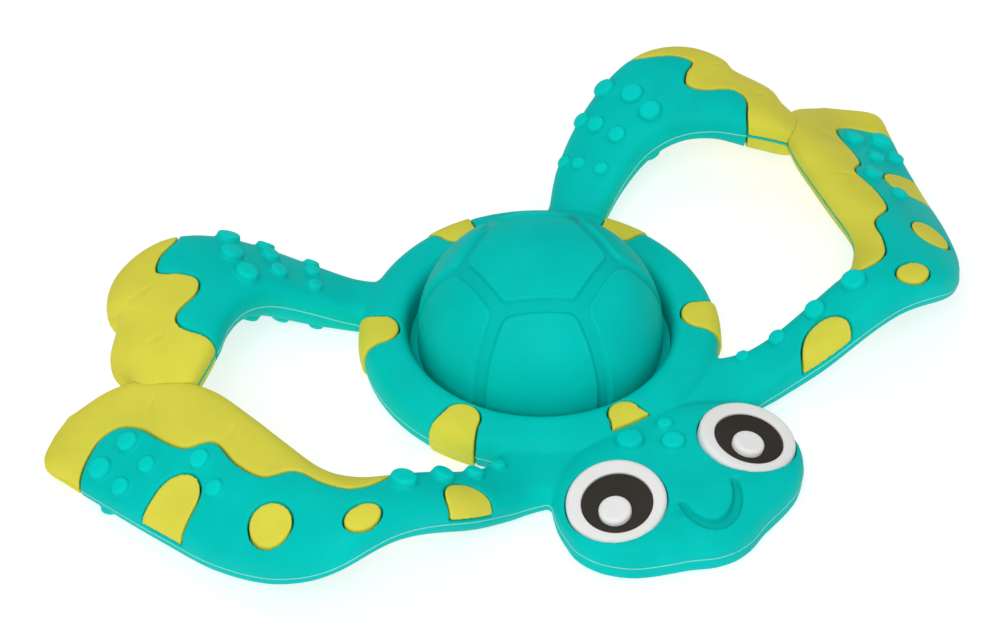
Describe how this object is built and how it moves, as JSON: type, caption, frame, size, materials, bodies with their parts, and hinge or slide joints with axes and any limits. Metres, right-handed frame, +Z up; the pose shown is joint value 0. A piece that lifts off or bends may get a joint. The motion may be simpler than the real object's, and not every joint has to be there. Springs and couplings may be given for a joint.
{
  "type": "silicone teether",
  "caption": "Flat sea-turtle silicone teether with arched flippers that form a finger loop on each side and a press dome in the shell ring.",
  "frame": {"origin": "middle of the bounding box, on the plane the toy rests on", "axes": "+Z up through the shell, the head looks along -Y, the toy's left flippers are at +X"},
  "size_m": [0.1672, 0.0997, 0.0236],
  "materials": {
    "teal_silicone": "satin",
    "yellow_silicone": "satin",
    "white_silicone": "satin",
    "black_silicone": "satin"
  },
  "bodies": {
    "body": {"frame": "teal_silicone", "hinge_web": "teal_silicone", "eye_white_left": "white_silicone", "eye_white_right": "white_silicone", "eye_iris_left": "black_silicone", "eye_iris_right": "black_silicone", "tab_neck": "yellow_silicone", "tab_tail": "yellow_silicone", "tab_fore_left": "yellow_silicone", "tab_fore_right": "yellow_silicone", "tab_aft_left": "yellow_silicone", "tab_aft_right": "yellow_silicone", "fin_band_top_left": "yellow_silicone", "fin_band_top_right": "yellow_silicone", "fin_band_under_left": "yellow_silicone", "fin_band_under_right": "yellow_silicone", "cuff_top_left": "yellow_silicone", "cuff_top_right": "yellow_silicone", "cuff_under_left": "yellow_silicone", "cuff_under_right": "yellow_silicone", "spot_neck_left": "yellow_silicone", "spot_neck_right": "yellow_silicone", "spot_round_left": "yellow_silicone", "spot_round_right": "yellow_silicone", "spot_long_left": "yellow_silicone", "spot_long_right": "yellow_silicone", "spot_tip_left": "yellow_silicone", "spot_tip_right": "yellow_silicone"},
    "dome": {"pop_dome": "teal_silicone"}
  },
  "joints": [
    {"name": "dome_press", "type": "slide", "parent": "body", "child": "dome", "axis": [0, 0, 1], "range_m": [-0.012, 0], "stiffness_N_per_m": 500, "deforming": ["hinge_web"]}
  ]
}
